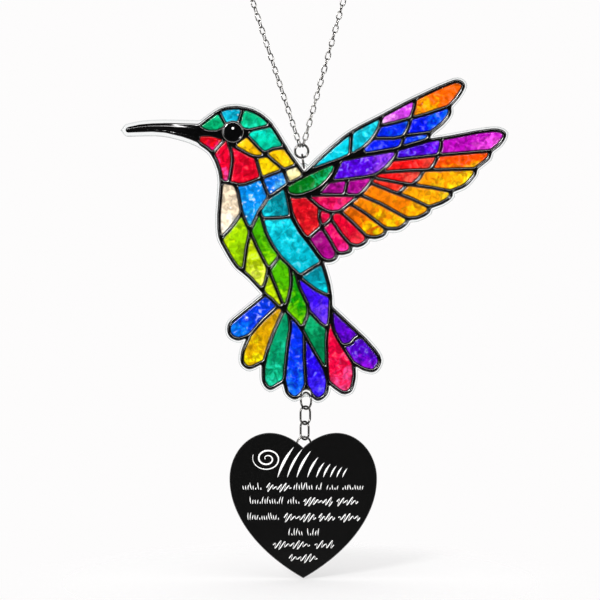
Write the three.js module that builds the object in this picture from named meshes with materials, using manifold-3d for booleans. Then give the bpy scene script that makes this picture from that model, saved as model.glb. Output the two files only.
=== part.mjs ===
// Hanging ornament: a bird of clear acrylic with raised black leading, on a silver chain, with a metal heart
// below it.
// Millimetres, +Z up, +X to the viewer's right, front faces towards -Y.
// The origin is the top of the knob that the chain's loop rests on.
import * as THREE from "three";
import { mergeVertices } from "three/addons/utils/BufferGeometryUtils.js";
import Module from "manifold-3d";

const wasm = await Module();
wasm.setup();

// Bird: real length from beak tip to wing tip, and the sizes of the sheet and of what lies on it
const birdLength = 152.8;
const sheetThickness = 2;
const clearBorder = 1.45;
const leadingHeight = 0.7;
const leadWidth = 1.45;
const rimLeadWidth = 1.5;
const rimLeadInset = 0.15;
const broadLeadWidth = 2.0;
const eyeDiameter = 8.6;
const neckHoleDiameter = 2.0;
const tailSlotWidth = 3.0;
const tailSlotHeight = 1.6;
const holeRim = 1.1;
const slotSetback = 0.42;
const slotSetbackDrop = 0.35;

// Rings and oval links, outer sizes and wire
const jumpRingWire = 0.9;
const topRingDiameter = 6.2;
const hangingRingDiameter = 6.1;
const hangingRingWire = 0.8;
const tailRingDiameter = 7.4;
const dropWire = 0.8;
const dropLinkLength = 8.0;
const upperLinkWidth = 5.8;
const lowerLinkWidth = 5.4;
const bailDiameter = 6.3;

// Turns of the drop's rings about the vertical, in degrees, each crossing the next, and the lean of the
// hanging ring. The tail ring rests left of the slot's middle, and each piece below it a little further left.
const tailRingTurn = -52;
const upperLinkTurn = 40;
const lowerLinkTurn = -46;
const hangingRingLean = 8;
const hangingRingSag = 0.25;
const tailRingShift = -0.15;
const dropDrift = -0.28;

// Cable chain: one length, both ends on the top ring, its two strands leaning apart round a knob
const chainLinkLength = 3.6;
const chainLinkWidth = 2.3;
const chainWire = 0.45;
const chainLinkCount = 73;
const chainPress = 0.1;
const leftStrandLean = 18.1;
const rightStrandLean = 15.5;

// Heart
const heartWidth = 58.8;
const heartThickness = 1.8;
const notchAboveBail = 1.55;
const solderGap = 0.1;

// Gap kept between pieces that touch, and how closely curves are followed
const touchGap = 0.3;
const curveTolerance = 0.13;
const heartCurveSteps = 9;
const holeSteps = 16;
const rimSteps = 12;
const eyeSteps = 24;
const ringSides = 5;
const ringSteps = 12;

const black = new THREE.MeshStandardMaterial({ color: 0x0b0b0c, roughness: 0.25, metalness: 0 });
const clear = new THREE.MeshStandardMaterial({
  color: 0xf4f8f8,
  roughness: 0.05,
  transparent: true,
  opacity: 0.35,
});
const silver = new THREE.MeshStandardMaterial({ color: 0xb4b2ae, roughness: 0.25, metalness: 1 });
const coated = new THREE.MeshStandardMaterial({ color: 0x111112, roughness: 0.45, metalness: 0.3 });

// The bird is drawn on a grid of its own, x to the right and y up from the hole at the neck,
// 382 units from the beak's tip to the wing's tip. Every point is a share of the bird's length.
const gridAcross = 382;
const grid = birdLength / gridAcross;

// Outline, line by line round the bird from the notch at the neck, each line from where the last one ends
const wingOutline = {
  wingTop: [[0, -6], [16, 10], [46, 35], [76, 51], [106, 67], [136, 81]],
  wingTip: [[136, 81], [154, 87], [159.5, 83], [156, 74], [145.5, 61.5]],
  wingCoverEnd: [[145.5, 61.5], [146, 55], [142, 48], [135.5, 41.5], [127, 35], [123, 27.5]],
  longFeatherTop: [[123, 27.5], [146, 31], [176, 36.5], [194, 37.8], [200.7, 34], [196, 24], [186.5, 16.5]],
  featherEnd1: [[186.5, 16.5], [184.5, 9.5], [179.5, 5], [171.5, -1]],
  featherEnd2: [[171.5, -1], [171, -6], [161, -17.5], [147, -23.5]],
  featherEnd3: [[147, -23.5], [147, -28.5], [139, -34.5], [125.5, -39.5]],
  featherEnd4: [[125.5, -39.5], [124.5, -44], [114, -50], [104, -51]],
  featherEnd5: [[104, -51], [102.5, -55], [94, -61], [82, -61]],
  featherEnd6: [[82, -61], [80.5, -66], [72, -70], [63, -69]],
  featherEnd7: [[63, -69], [62.5, -73], [54, -78.3], [47, -77]],
  featherEnd8: [[47, -77], [46.5, -83], [38, -86], [33, -85]],
  featherEnd9: [[33, -85], [32, -90], [24, -93.5], [16.5, -90]],
  flank: [[16.5, -90], [21, -102], [25, -116.5], [26.7, -128], [27, -139]],
};
const tailOutline = {
  tail7Side: [[27, -139], [45, -155.5], [60.5, -170.5]],
  tail7End: [[60.5, -170.5], [74.4, -187], [76, -194], [70, -202.5], [61, -201.8], [50, -195.6]],
  tail6: [[50, -195.6], [50.3, -210], [46, -223], [39.5, -225], [32, -220.5], [24, -213.8]],
  tail5: [[24, -213.8], [22, -226], [14, -231.5], [8, -227.5], [2, -217.5]],
  tail4: [[2, -217.5], [-2.5, -226], [-9.3, -230.3], [-16.7, -225.3], [-20, -213]],
  tail3: [[-20, -213], [-25.3, -216], [-34, -220.7], [-40, -214.7], [-41, -196]],
  tail2: [[-41, -194], [-46, -196.5], [-55, -200], [-61.5, -195], [-61.5, -184], [-55, -168]],
  tail1: [[-55, -168], [-66, -171.3], [-74, -167], [-74.7, -156.7], [-62.7, -145.3], [-39, -126]],
};
const frontOutline = {
  belly: [[-39, -126], [-55, -108.7], [-67.3, -98.7], [-77.3, -82.7], [-84.3, -68.7], [-85.3, -47]],
  throat: [[-85.3, -47], [-83, -12.5], [-86.5, 3.6], [-93.5, 16.2], [-104, 24]],
  beakUnder: [[-104, 24], [-114, 28.3], [-129, 33], [-144, 35.6], [-164, 35.7], [-177, 35]],
  beakTip: [[-177, 35], [-178.8, 37.6], [-177, 40.5]],
  beakOver: [[-177, 40.5], [-164, 43.4], [-139, 44.8], [-120, 44.2], [-103, 44]],
  brow: [[-103, 44], [-97, 48.5], [-88, 55.2], [-80, 59.2], [-67, 60.6]],
  nape: [[-67, 60.6], [-51, 57.2], [-35, 46.1], [-15.8, 16.2], [0, -6]],
};
const outline = { ...wingOutline, ...tailOutline, ...frontOutline };
const beakLines = ["beakUnder", "beakTip", "beakOver"];

// Lines inside the head and neck
const headLines = {
  browFront: [[-85.2, 56], [-78.6, 44]],
  browRear: [[-60.8, 59.3], [-65, 46]],
  eyeRear: [[-61, 36], [-44, 40], [-34.7, 42], [-32.5, 43.6]],
  cheek: [[-60, 35.5], [-43, 17.6], [-20, -2]],
  underTeal: [[-40, 14.5], [-30.5, 19], [-18, 20.5]],
  underEye: [[-75, 24.5], [-62, 17], [-49, 11], [-36, 12.5]],
  chin: [[-79, 28.3], [-90.7, 15]],
  redDivider: [[-76, 26], [-72.2, 15], [-71.6, 6], [-73, -2.4], [-74.6, -13]],
  neckSide: [[-48, 10], [-42, -12], [-35, -29.5]],
  collar: [[-82, -14], [-73, -15.8], [-62, -17], [-41, -9.7], [-20, -2], [-8, 2.5]],
  shoulderTop: [[-20.7, -1], [-15.5, -16]],
  shoulderRoot: [[-36, -30], [-17, -17], [0, -8]],
};
// Lines inside the breast and body
const bodyLines = {
  breastFront: [[-69.7, -15], [-66, -24], [-62, -45], [-54, -63]],
  breastCross: [[-82.8, -70.8], [-74, -61], [-62, -45]],
  breastRear: [[-36, -30], [-44.7, -43.3], [-54, -63]],
  bellyFront: [[-54, -63], [-57.7, -81.3], [-60.4, -102.3]],
  bellyRear: [[-54, -63], [-46, -81.3], [-35, -102]],
  sideFront: [[-43.8, -44], [-37, -67], [-24.7, -87.3], [-4, -108]],
  sideCross: [[-41.5, -50.5], [-20.7, -49.7], [-12, -48.3]],
  rumpTop: [[-4, -108], [8, -100], [19, -94]],
  loinTop: [[-36, -103], [-24.5, -88]],
  ventFront: [[-36, -102], [-38, -112], [-41.5, -122]],
  ventRear: [[-35, -102], [-26.5, -123], [-19, -142]],
  loinRear: [[-14, -99], [-12.7, -114], [-14.7, -127], [-19, -142]],
  rumpRear: [[-8, -105], [-4.7, -119], [4.5, -141], [-1.7, -160]],
  rumpCross: [[-5, -109], [12, -122], [26, -128.5]],
};
// Lines between and inside the tail feathers
const tailLines = {
  tailRoot: [[-39, -126], [-32, -131.3], [-26, -138], [-19, -142]],
  tail12: [[-55, -168], [-41.3, -152], [-26, -138]],
  tail23: [[-20, -141], [-31, -166], [-38, -187], [-41, -203]],
  tail34: [[-15.5, -145.5], [-13.7, -159], [-16.5, -178], [-20, -213]],
  tail45: [[0.3, -166.5], [0.3, -189], [2, -218]],
  tailLong: [[-19, -142], [-5, -157], [11, -185], [20, -200], [24, -214]],
  tailWedge: [[4, -142], [18, -156.5], [24, -160.5]],
  tail56: [[26.7, -128], [25.4, -150], [22.5, -168], [22.5, -190], [24, -214]],
  tail67: [[27, -139], [29.3, -161], [38, -177.5], [50.5, -197]],
  tail7Cross: [[38, -177.5], [46.5, -175.5], [51.5, -169.5], [57.8, -168.7]],
};
// Lines inside the small feathers of the wing's upper edge
const coverLines = {
  cover12: [[47.4, 34.5], [46, 15]],
  cover23: [[77.6, 50.3], [75, 41], [69, 30], [59, 20], [47, 12.5]],
  coverPinkUnder: [[76.5, 42], [90, 45], [106.5, 49.5]],
  coverPinkEnd: [[110.9, 68], [110.5, 62], [106.5, 49.5]],
  coverOrangeUnder: [[106.5, 49.5], [118, 52.5], [145.5, 61.5]],
  coverBlueEnd: [[106.5, 49.5], [104, 40], [99, 31]],
  coverBlueUnder: [[69.5, 29.5], [90, 29.5], [107, 33], [128, 35.5]],
  coverBlueStep: [[100, 31], [95.5, 19]],
};
// Lines inside the long feathers of the wing: seven feathers fan out below the red ones
const featherLines = {
  feather12: [[132, 12.5], [151, 14.3], [171, 15.7], [186.5, 17]],
  feather23: [[77, -4.5], [96, -3], [126, -2], [172, -1]],
  feather34: [[72, -10.5], [104, -16.5], [129, -20], [147, -23.5]],
  feather45: [[66.5, -15], [94, -26], [108, -31], [125.5, -39.5]],
  feather56: [[56, -27], [76, -35.5], [104, -51]],
  feather67: [[47, -36.5], [61, -45], [82, -61]],
  feather78: [[36, -43.5], [49, -55], [63, -69]],
  feather89: [[26.5, -50.5], [37, -66], [47, -77.5]],
  feather9End: [[17.5, -59], [26, -72], [33, -85]],
  longFeatherRoot: [[137, 27.5], [136.5, 20], [130, 4], [126, -2]],
  violetGap: [[92.5, 18], [91, 8]],
  redTop: [[90.5, 8], [108, 9.7], [132, 12.5]],
  redStep: [[119.5, -2.5], [115.5, -10], [108, -17]],
  redLowStep: [[103, -16.5], [94, -26]],
  violetUnder: [[91.5, 12], [86.5, 5.5], [79, -2], [70, -7.5], [52, -10.5], [26, -13.5]],
  purpleUnder: [[-1, -27.7], [14, -27], [54, -27.5]],
  purpleStep: [[43.5, -12], [40.5, -27]],
  purpleEnd: [[70, -8], [66, -15.5], [54, -28.5], [36, -43.5]],
  crimsonUnder: [[2.5, -28], [11, -35.5], [20, -42], [29, -44.7], [37, -43]],
  rootStep: [[16, -40], [14.8, -48.5], [17.5, -59]],
  smallEnd: [[27.5, -44.5], [27, -51.5], [17.5, -59]],
  rootUnder: [[17.5, -59], [11, -64], [3.5, -71]],
};
// Broad lines: the wing's arm, from which the feathers hang, its root and the edge of the green leaf
const broadLines = {
  armLower: [[0, -7], [16, 0.5], [26, 4.2], [36, 7.7], [47, 12.5]],
  armUpper: [[41, 9], [61, 13.3], [91, 18.3], [123, 27.5]],
  leafUnder: [[32, 5], [30.5, -3], [25, -11.5], [16, -20], [4, -26], [-7, -28.5], [-14, -27]],
  wingRoot: [[-18.5, -19], [-16, -28.7], [-12.3, -46.7], [-4, -62.7], [6, -75.3], [16.5, -90]],
};
// Solid black corners: the stripe from beak to eye, the corners behind and below the eye, the dark wedge
// between leaf and wing, and the corner of the small blue feather
const stripeOver = [[-104, 41.6], [-101, 41], [-99.3, 39], [-93, 37.7], [-86.6, 38], [-83, 40], [-78, 43]];
const stripeUnder = [[-77, 27.5], [-83.4, 28.4], [-91, 30.7], [-97, 31.4], [-104, 31.2]];
const blackFills = {
  eyeStripe: [...stripeOver, ...stripeUnder],
  eyeUnder: [[-74, 26], [-68, 22.3], [-57.6, 30.2], [-59.5, 36], [-71, 36]],
  coverCorner: [[47, 12], [59, 19.5], [62, 16.4], [58, 12.5]],
  eyeCorner: [[-62, 41], [-51, 37.8], [-58, 30]],
  leafWedge: [[32, 7], [38.5, 7], [30.5, -10], [24, -17], [15, -27], [1, -28], [16, -19], [27, -9]],
};
const eyeCentre = [-71, 36];
const tailSlotCentre = [2.4, -224.3];

/** A point of the drawing in millimetres. */
const drawn = ([x, y]) => new THREE.Vector2(x * grid, y * grid);

/** Drops the points of a line that lie within the tolerance of the chord past them. */
function thinned(points, tolerance) {
  const first = points[0];
  const last = points[points.length - 1];
  const chord = last.clone().sub(first);
  const length = chord.length();
  let worst = 0;
  let split = -1;
  points.forEach((point, i) => {
    const away = point.clone().sub(first);
    const off = length > 0 ? Math.abs(chord.cross(away)) / length : away.length();
    if (off > worst) {
      worst = off;
      split = i;
    }
  });
  if (worst <= tolerance || split < 0) return [first, last];
  return [
    ...thinned(points.slice(0, split + 1), tolerance).slice(0, -1),
    ...thinned(points.slice(split), tolerance),
  ];
}

/** A smooth line through drawn points, as few millimetre points as the tolerance allows. */
function smooth(line) {
  const points = line.map(drawn);
  if (points.length === 2) return points;
  const stepsPerSpan = 8;
  const spatial = points.map((p) => new THREE.Vector3(p.x, p.y, 0));
  const curve = new THREE.CatmullRomCurve3(spatial, false, "centripetal");
  const fine = curve.getPoints(stepsPerSpan * (points.length - 1)).map((p) => new THREE.Vector2(p.x, p.y));
  return thinned(fine, curveTolerance);
}

/** A round-ended ribbon along a line, as the outline of a shape; the inset moves it to the line's right. */
function ribbon(line, width, inset = 0) {
  const mitreLimit = 0.5;
  const capTurn = Math.PI / 6;
  const half = width / 2;
  const last = line.length - 1;
  const left = [];
  const right = [];
  line.forEach((point, i) => {
    const before = line[Math.max(i - 1, 0)];
    const after = line[Math.min(i + 1, last)];
    const into = point.clone().sub(before).normalize();
    const out = after.clone().sub(point).normalize();
    const along = into.clone().add(out).normalize();
    const middle = i > 0 && i < last;
    const reach = middle ? 1 / Math.max(along.dot(into), mitreLimit) : 1;
    const side = new THREE.Vector2(-along.y, along.x).multiplyScalar(reach);
    left.push(point.clone().addScaledVector(side, half - inset));
    right.push(point.clone().addScaledVector(side, -half - inset));
  });
  const cap = (centre, towards) => [-1, 1].map((sign) => {
    const turned = towards.clone().rotateAround(new THREE.Vector2(), -sign * capTurn);
    return centre.clone().add(turned.multiplyScalar(half));
  });
  const endWay = line[last].clone().sub(line[last - 1]).normalize();
  const startWay = line[0].clone().sub(line[1]).normalize();
  const endCap = cap(left[last].clone().add(right[last]).multiplyScalar(0.5), endWay).reverse();
  const startCap = cap(left[0].clone().add(right[0]).multiplyScalar(0.5), startWay).reverse();
  return [...right, ...endCap, ...left.reverse(), ...startCap];
}

/** A manifold solid from a three.js geometry. */
function solidOf(geometry) {
  const weldDistance = 1e-5;
  const bare = geometry.clone();
  bare.deleteAttribute("normal");
  bare.deleteAttribute("uv");
  const merged = mergeVertices(bare, weldDistance);
  const vertProperties = new Float32Array(merged.attributes.position.array);
  const triVerts = new Uint32Array(merged.index.array);
  return new wasm.Manifold(new wasm.Mesh({ numProp: 3, vertProperties, triVerts }));
}

/** A three.js geometry from a manifold solid. */
function geometryOf(solid) {
  const mesh = solid.getMesh();
  const geometry = new THREE.BufferGeometry();
  geometry.setAttribute("position", new THREE.BufferAttribute(new Float32Array(mesh.vertProperties), 3));
  geometry.setIndex(new THREE.BufferAttribute(new Uint32Array(mesh.triVerts), 1));
  geometry.computeVertexNormals();
  return geometry;
}

/** A flat slab with the outline of the points, from one depth to another in front of the drawing. */
function slab(points, from, to) {
  const depth = to - from;
  const geometry = new THREE.ExtrudeGeometry(new THREE.Shape(points), { depth, bevelEnabled: false });
  geometry.translate(0, 0, from);
  return solidOf(geometry);
}

/** One solid from many, with its flat faces cleared of leftover edges. */
const joined = (solids) => wasm.Manifold.union(solids).asOriginal().simplify();

/** The points of a circle round a drawn or measured centre. */
function circle(centre, radius, steps) {
  const points = [];
  for (let i = 0; i < steps; i += 1) {
    const angle = (2 * Math.PI * (i + 0.5)) / steps;
    points.push(new THREE.Vector2(centre.x + radius * Math.cos(angle), centre.y + radius * Math.sin(angle)));
  }
  return points;
}

/** The points of a slot with round ends, lying level. */
function slot(centre, width, height, steps) {
  const straight = (width - height) / 2;
  return circle(new THREE.Vector2(), height / 2, steps)
    .map((p) => new THREE.Vector2(centre.x + p.x + Math.sign(p.x) * straight, centre.y + p.y));
}

// The sheet is centred on the drawing's plane and the leading lies on its front
const sheetBack = -sheetThickness / 2;
const sheetFront = sheetThickness / 2;
const leadingFront = sheetFront + leadingHeight;
const neckHole = new THREE.Vector2(0, 0);
const tailSlot = drawn(tailSlotCentre);

/** The slot that the tail ring hangs in, as a solid, wider all round by a margin and lower by a drop. */
function slotBlock(margin, drop, back, front, steps) {
  const wider = 2 * margin;
  const centre = new THREE.Vector2(tailSlot.x, tailSlot.y - drop);
  return slab(slot(centre, tailSlotWidth + wider, tailSlotHeight + wider, steps), back, front);
}

// What is cut out of the sheet and the leading reaches past both of their faces
const cutPast = 1;
const cutBack = sheetBack - cutPast;
const cutFront = leadingFront + cutPast;

/** The clear sheet: the outline filled, widened all round by the border, with a rim round each hole. */
function birdSheet() {
  const lines = Object.values(outline).map(smooth);
  const filled = lines.flatMap((line) => line.slice(0, -1));
  const parts = [
    slab(filled, sheetBack, sheetFront),
    ...lines.map((line) => slab(ribbon(line, 2 * clearBorder), sheetBack, sheetFront)),
    slab(circle(neckHole, neckHoleDiameter / 2 + holeRim, rimSteps), sheetBack, sheetFront),
    slotBlock(holeRim, 0, sheetBack, sheetFront, rimSteps),
  ];
  const neckCut = slab(circle(neckHole, neckHoleDiameter / 2, holeSteps), cutBack, cutFront);
  const slotCut = slotBlock(0, 0, cutBack, cutFront, holeSteps);
  return joined([wasm.Manifold.union(parts).subtract(neckCut).subtract(slotCut)]);
}

/** The raised black leading, one network with the beak and the eye, whose openings are the coloured panes. */
function birdLeading() {
  const raised = (points) => slab(points, sheetFront, leadingFront);
  const lead = (group, width) => Object.values(group).map((line) => raised(ribbon(smooth(line), width)));
  const rim = Object.entries(outline).filter(([name]) => !beakLines.includes(name));
  const beak = beakLines.flatMap((name) => smooth(outline[name]).slice(0, -1));
  const parts = [
    ...rim.map(([, line]) => raised(ribbon(smooth(line), rimLeadWidth, rimLeadInset))),
    raised([...beak, drawn(outline.brow[0])]),
    ...lead(headLines, leadWidth),
    ...lead(bodyLines, leadWidth),
    ...lead(tailLines, leadWidth),
    ...lead(coverLines, leadWidth),
    ...lead(featherLines, leadWidth),
    ...lead(broadLines, broadLeadWidth),
    ...Object.values(blackFills).map((line) => raised(line.map(drawn))),
    raised(circle(drawn(eyeCentre), eyeDiameter / 2, eyeSteps)),
  ];
  const slotCut = slotBlock(slotSetback, slotSetbackDrop, cutBack, cutFront, holeSteps);
  return joined([wasm.Manifold.union(parts).subtract(slotCut)]);
}

/**
 * A ring or oval link of round wire, its long axis along z and its face towards -Y.
 * The ring is a torus whose halves are moved apart along its length.
 */
function link(length, width, wire, sides, steps) {
  const seam = 1e-3;
  const middle = (width - wire) / 2;
  const apart = (length - width) / 2;
  const geometry = new THREE.TorusGeometry(middle, wire / 2, sides, steps);
  const position = geometry.attributes.position;
  for (let i = 0; i < position.count; i += 1) {
    const x = position.getX(i);
    if (Math.abs(x) > seam) position.setX(i, x + Math.sign(x) * apart);
  }
  geometry.rotateX(Math.PI / 2);
  geometry.rotateY(Math.PI / 2);
  return geometry;
}

const degrees = THREE.MathUtils.degToRad;

// Stack of the drop, each piece hanging in the one above with the gap between their wires
const inDrop = (outerBottom, wire, nextWire) => outerBottom + wire + touchGap + nextWire;
const hangingBottom = neckHoleDiameter / 2 - touchGap - hangingRingWire / 2 - hangingRingSag;
const hangingTop = hangingBottom + hangingRingDiameter - hangingRingWire;
const topRingLow = hangingTop - hangingRingWire / 2 - touchGap - jumpRingWire / 2;
const topRingUp = topRingLow + (topRingDiameter - jumpRingWire) / 2;
const tailRingTop = tailSlot.y - tailSlotHeight / 2 + touchGap + dropWire;
const tailRingBottom = tailRingTop - tailRingDiameter;
const upperTop = inDrop(tailRingBottom, dropWire, dropWire);
const upperBottom = upperTop - dropLinkLength;
const lowerTop = inDrop(upperBottom, dropWire, dropWire);
const lowerBottom = lowerTop - dropLinkLength;
const bailTop = inDrop(lowerBottom, dropWire, dropWire);
const tailRingX = tailSlot.x + tailRingShift;
const upperX = tailRingX + dropDrift;
const lowerX = upperX + dropDrift;
const bailX = lowerX + dropDrift;
const heartX = bailX + dropDrift;

// Chain path: straight up from the top ring's centre, round the knob and back down, measured along it
const ringRadius = (topRingDiameter - jumpRingWire) / 2;
const firstLinkAt = ringRadius - jumpRingWire / 2 - touchGap - chainWire + chainLinkLength / 2;
const chainPitch = chainLinkLength - 2 * chainWire + chainPress;
const halfSpread = degrees((leftStrandLean + rightStrandLean) / 2);
const loopTilt = degrees((leftStrandLean - rightStrandLean) / 2);
const partGap = chainPress + touchGap;
const chainRun = (chainLinkCount - 1) * chainPitch - 2 * partGap + 2 * firstLinkAt;
const arcTurn = Math.PI + 2 * halfSpread;
const arcRadius = chainRun / (2 / Math.tan(halfSpread) + arcTurn);
const strandLength = arcRadius / Math.tan(halfSpread);
const knobRadius = arcRadius - chainLinkWidth / 2;
const apexToKnob = arcRadius / Math.sin(halfSpread);

const lean = degrees(hangingRingLean);
const topRingCentre = new THREE.Vector2(-topRingUp * Math.sin(lean), topRingUp * Math.cos(lean));
const knobCentre = new THREE.Vector2(
  topRingCentre.x - apexToKnob * Math.sin(loopTilt),
  topRingCentre.y + apexToKnob * Math.cos(loopTilt),
);
const knobTop = new THREE.Vector2(knobCentre.x, knobCentre.y + knobRadius);

/** The chain's place and heading at a distance along its path, from the left strand to the right one. */
function chainAt(distance) {
  const leftWay = Math.PI / 2 + halfSpread + loopTilt;
  const rightWay = Math.PI / 2 - halfSpread + loopTilt;
  const way = (angle) => new THREE.Vector2(Math.cos(angle), Math.sin(angle));
  if (distance <= strandLength) {
    return { at: way(leftWay).multiplyScalar(distance).add(topRingCentre), angle: leftWay };
  }
  const past = distance - strandLength;
  const arcLength = arcTurn * arcRadius;
  if (past >= arcLength) {
    const left = chainRun - distance;
    return { at: way(rightWay).multiplyScalar(left).add(topRingCentre), angle: rightWay + Math.PI };
  }
  const angle = leftWay - past / arcRadius;
  const outward = way(angle + Math.PI / 2).multiplyScalar(arcRadius);
  return { at: knobCentre.clone().add(outward), angle };
}

/** One run of the chain: links from one number to another fused, every other one edge on to the front. */
function chainRunOf(from, to, shift) {
  const linkSides = 3;
  const linkSteps = 6;
  // Three-sided wire is drawn wide enough that its depth along the chain is the round wire's
  const drawnWire = (2 * chainWire) / (1 + Math.cos(Math.PI / linkSides));
  const solids = [];
  for (let k = from; k < to; k += 1) {
    const { at, angle } = chainAt(firstLinkAt + k * chainPitch - shift);
    const geometry = link(chainLinkLength, chainLinkWidth, drawnWire, linkSides, linkSteps);
    if (k % 2 === 0) geometry.rotateZ(Math.PI / 2);
    geometry.rotateY(Math.PI / 2 - angle);
    geometry.translate(at.x, 0, at.y);
    solids.push(solidOf(geometry));
  }
  return geometryOf(joined(solids));
}

const strandLinks = Math.floor((strandLength - firstLinkAt) / chainPitch) + 1;

/** The heart's outline: three curves a side from the notch to the point, in shares of half its width. */
function heartOutline() {
  const half = heartWidth / 2;
  const notch = 0.418;
  const lobe = [0.455, 0.62];
  const point = -1.35;
  const curves = [
    [[0, notch], [0.12, 0.53], [0.28, lobe[1]], lobe],
    [lobe, [0.755, lobe[1]], [1, 0.34], [1, 0]],
    [[1, 0], [1, -0.5], [0.62, -1], [0, point]],
  ].map((corners) => {
    const scaled = corners.map(([x, y]) => new THREE.Vector2(x * half, y * half));
    return new THREE.CubicBezierCurve(...scaled);
  });
  const right = curves.flatMap((curve) => curve.getPoints(heartCurveSteps).slice(0, -1));
  const left = [...right.slice(1)].reverse().map((p) => new THREE.Vector2(-p.x, p.y));
  const points = [...right, new THREE.Vector2(0, point * half), ...left].reverse();
  return { points, notchHeight: notch * half };
}

const ornament = new THREE.Group();
ornament.position.set(-knobTop.x, 0, -knobTop.y);

/** Adds a mesh that was drawn flat, turned upright so that its depth faces the front. */
function addUpright(name, geometry, material, x = 0, z = 0, forward = 0) {
  const mesh = new THREE.Mesh(geometry, material);
  mesh.name = name;
  mesh.rotation.x = Math.PI / 2;
  mesh.position.set(x, -forward, z);
  ornament.add(mesh);
}

/** Adds a ring or link whose outer top is at the height, turned about the vertical. */
function addLink(name, length, width, wire, x, top, turn) {
  const mesh = new THREE.Mesh(link(length, width, wire, ringSides, ringSteps), silver);
  mesh.name = name;
  mesh.rotation.z = degrees(turn);
  mesh.position.set(x, 0, top - length / 2);
  ornament.add(mesh);
}

addUpright("bird_plate", geometryOf(birdSheet()), clear);
addUpright("bird_leading", geometryOf(birdLeading()), black);

const topRingTop = topRingCentre.y + topRingDiameter / 2;
addLink("top_ring", topRingDiameter, topRingDiameter, jumpRingWire, topRingCentre.x, topRingTop, 0);

const hangingRing = new THREE.Mesh(
  link(hangingRingDiameter, hangingRingDiameter, hangingRingWire, ringSides, ringSteps),
  silver,
);
hangingRing.name = "hanging_ring";
hangingRing.rotation.set(0, -lean, Math.PI / 2, "YXZ");
const hangingMiddle = (hangingBottom + hangingTop) / 2;
hangingRing.position.set(-hangingMiddle * Math.sin(lean), 0, hangingMiddle * Math.cos(lean));
ornament.add(hangingRing);

addLink("tail_ring", tailRingDiameter, tailRingDiameter, dropWire, tailRingX, tailRingTop, tailRingTurn);
addLink("upper_link", dropLinkLength, upperLinkWidth, dropWire, upperX, upperTop, upperLinkTurn);
addLink("lower_link", dropLinkLength, lowerLinkWidth, dropWire, lowerX, lowerTop, lowerLinkTurn);
addLink("heart_bail", bailDiameter, bailDiameter, dropWire, bailX, bailTop, 0);

// The bail is soldered behind the notch, so the heart hangs in front of it
const heart = heartOutline();
const heartMiddle = bailTop - bailDiameter / 2 - notchAboveBail - heart.notchHeight;
const heartForward = dropWire / 2 + solderGap;
const heartSlab = geometryOf(slab(heart.points, 0, heartThickness));
addUpright("heart_plate", heartSlab, coated, heartX, heartMiddle, heartForward);

const chainParts = {
  chain_left: [0, strandLinks, 0],
  chain_top: [strandLinks, chainLinkCount - strandLinks, partGap],
  chain_right: [chainLinkCount - strandLinks, chainLinkCount, 2 * partGap],
};
for (const [name, [from, to, shift]] of Object.entries(chainParts)) {
  const mesh = new THREE.Mesh(chainRunOf(from, to, shift), silver);
  mesh.name = name;
  ornament.add(mesh);
}

const part = new THREE.Group();
part.add(ornament);

export default part;
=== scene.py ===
"""Hanging ornament: a clear acrylic bird with coloured panes between black lines, and a black metal heart.

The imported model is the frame: metres, +Z up, front faces towards -Y, and the origin is the top of the knob
that the chain rests on. Flat outlines are read from the frame's nodes as (x, z) points in millimetres.
"""
import math

import bpy
import numpy as np
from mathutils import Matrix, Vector
from mathutils.geometry import delaunay_2d_cdt


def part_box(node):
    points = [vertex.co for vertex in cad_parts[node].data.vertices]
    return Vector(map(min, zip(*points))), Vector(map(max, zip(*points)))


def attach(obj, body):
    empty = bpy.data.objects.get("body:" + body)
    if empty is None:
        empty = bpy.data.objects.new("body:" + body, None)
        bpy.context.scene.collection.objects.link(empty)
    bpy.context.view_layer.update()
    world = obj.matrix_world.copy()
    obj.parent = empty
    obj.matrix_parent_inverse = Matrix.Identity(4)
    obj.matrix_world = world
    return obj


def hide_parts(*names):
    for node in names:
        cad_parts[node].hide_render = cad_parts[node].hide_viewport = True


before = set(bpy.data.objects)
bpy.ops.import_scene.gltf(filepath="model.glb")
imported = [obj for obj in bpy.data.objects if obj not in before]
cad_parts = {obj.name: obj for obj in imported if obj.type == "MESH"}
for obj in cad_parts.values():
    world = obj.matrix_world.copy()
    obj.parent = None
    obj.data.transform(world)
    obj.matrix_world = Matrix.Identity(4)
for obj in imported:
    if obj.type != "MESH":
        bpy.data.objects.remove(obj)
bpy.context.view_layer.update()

MM = 0.001
rng = np.random.default_rng(7)

# Sheet, lines and panes of the bird, in millimetres
LEAD_HEIGHT = 0.68
LEAD_ROUNDING = 0.7
LEAD_UNEVENNESS = 0.04
LEAD_WAVE = 9.0
BEAK_ROOT_FROM_NECK = -41.0
BEAK_ROOT_FADE = 4.0
EYE_FROM_NECK = (-28.4, 14.4)
EYE_RADIUS = 3.9
EYE_RISE = 0.3
EYE_DOT_FROM_NECK = (-28.4, 15.7)
EYE_DOT_RADIUS = 0.5
EYE_RIM_RADIUS = 4.2
EYE_RIM_LINE = 0.26
PANE_THICKNESS = 0.26
PANE_TUCK = 0.12
PANE_EDGE = 0.45
PANE_EDGE_SHARE = 0.7
PANE_WAVES = ((3.2, 0.05), (1.6, 0.04))
SHEET_BEVEL = 0.35
SHEET_STEP = 1.5
FACE_GAP = 0.006

# The beak's two ridges: each one's place from the lower line to the upper, its width and its height, as
# shares, and how much of the beak's height they make up
BEAK_RIDGES = ((0.6, 0.22, 1.0), (0.1, 0.14, 0.7))
BEAK_RIDGE_SHARE = 0.62

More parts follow.
